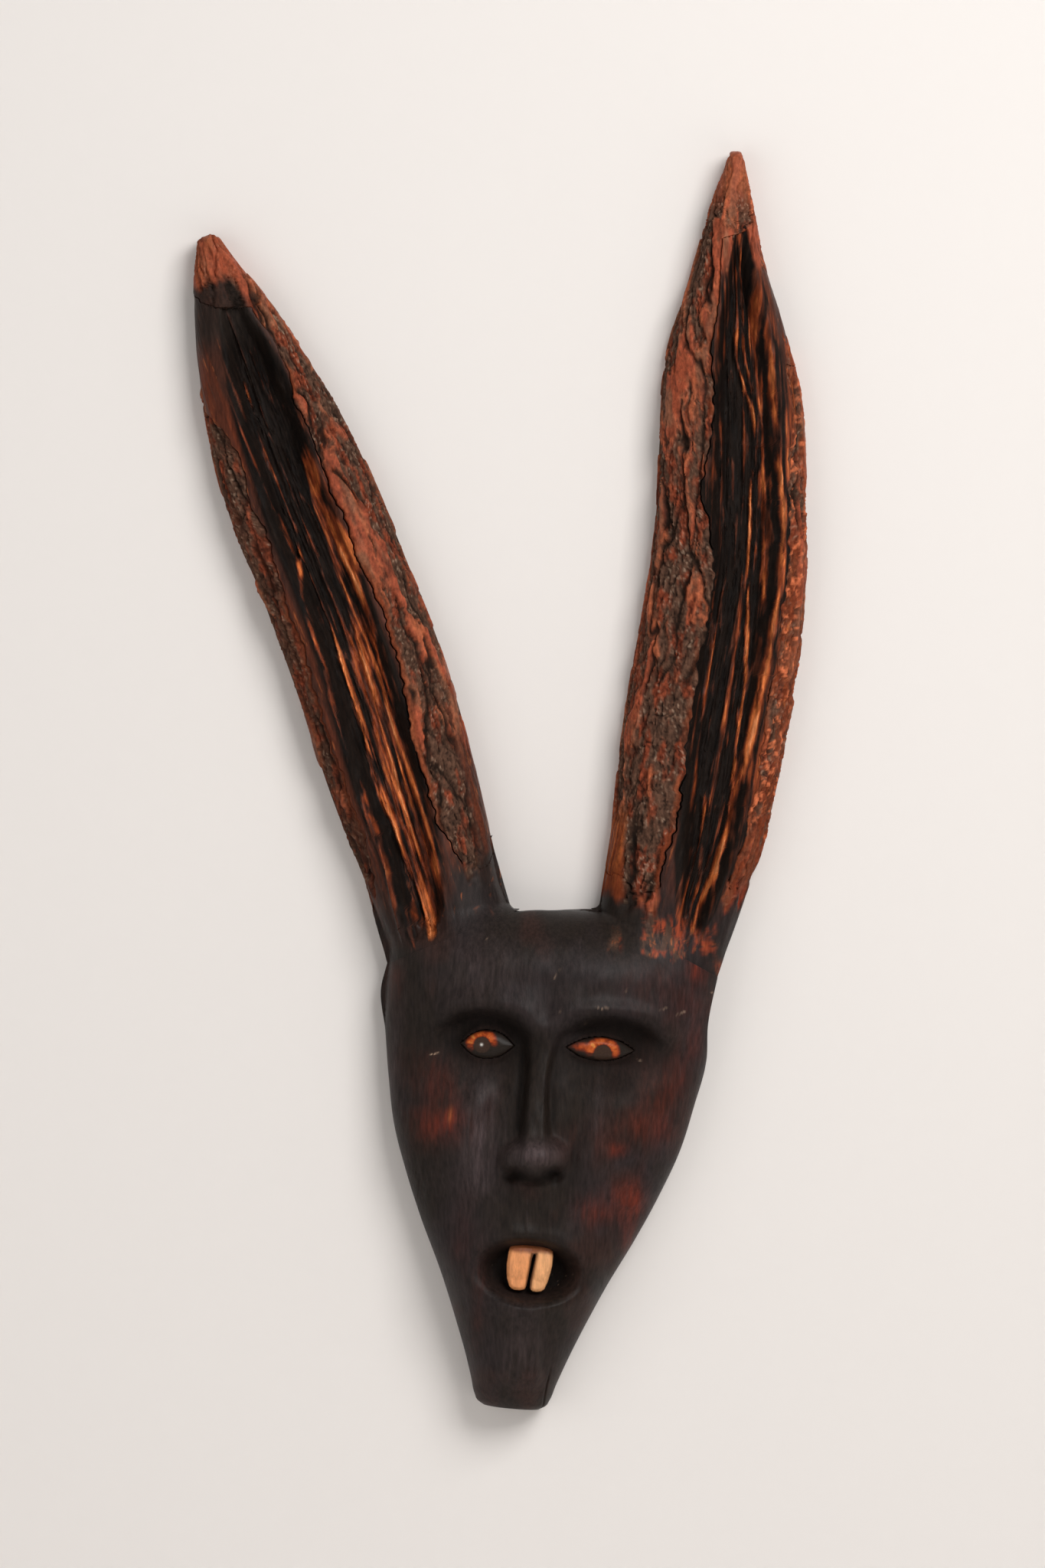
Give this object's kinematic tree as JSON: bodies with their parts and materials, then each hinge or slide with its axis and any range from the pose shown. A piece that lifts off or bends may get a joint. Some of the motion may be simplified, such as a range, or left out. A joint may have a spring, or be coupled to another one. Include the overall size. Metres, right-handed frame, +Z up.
{
  "type": "wall mask",
  "caption": "Long wedge-faced carved wooden mask with tall bark-edged ears, buck teeth and a hollowed back, hung flat on a wall by swinging rings.",
  "frame": {"origin": "point on the wall plane between the two wall hooks, level with where they touch the tops of the rings", "axes": "+Z up as hung, +Y into the wall, the face looks along -Y; +X is to the right as seen by someone facing the mask"},
  "size_m": [0.372, 0.0796, 0.764],
  "materials": {
    "charred_wood": "charred black-brown, rubbed to a satin",
    "scorched_wood": "gouged and scorched, with amber ridges and black troughs",
    "bark": "red-brown flaking bark, matt",
    "pale_wood": "bare wood, lightly oiled",
    "amber_inlay": "polished",
    "peg_wood": "raw",
    "zinc_steel": "zinc plated",
    "screw_steel": "zinc plated"
  },
  "bodies": {
    "mask": {"face_block": "charred_wood", "left_ear": "scorched_wood", "right_ear": "scorched_wood", "left_ear_bark_inner": "bark", "left_ear_bark_outer": "bark", "right_ear_bark_inner": "bark", "right_ear_bark_outer": "bark", "front_teeth": "pale_wood", "left_eye": "amber_inlay", "right_eye": "amber_inlay", "left_ear_peg": "peg_wood", "right_ear_peg": "peg_wood", "left_hanger_strap": "zinc_steel", "right_hanger_strap": "zinc_steel", "left_hanger_screw": "screw_steel", "right_hanger_screw": "screw_steel"},
    "left_ring": {"left_hanger_ring": "zinc_steel"},
    "right_ring": {"right_hanger_ring": "zinc_steel"}
  },
  "joints": [
    {"name": "left_ring_swing", "type": "hinge", "parent": "mask", "child": "left_ring", "pos_m": [-0.09272, -0.0054, -0.01619], "axis": [-1, 0, 0], "range_deg": [0, 165]},
    {"name": "right_ring_swing", "type": "hinge", "parent": "mask", "child": "right_ring", "pos_m": [0.09467, -0.0054, -0.01619], "axis": [-1, 0, 0], "range_deg": [0, 165]}
  ]
}
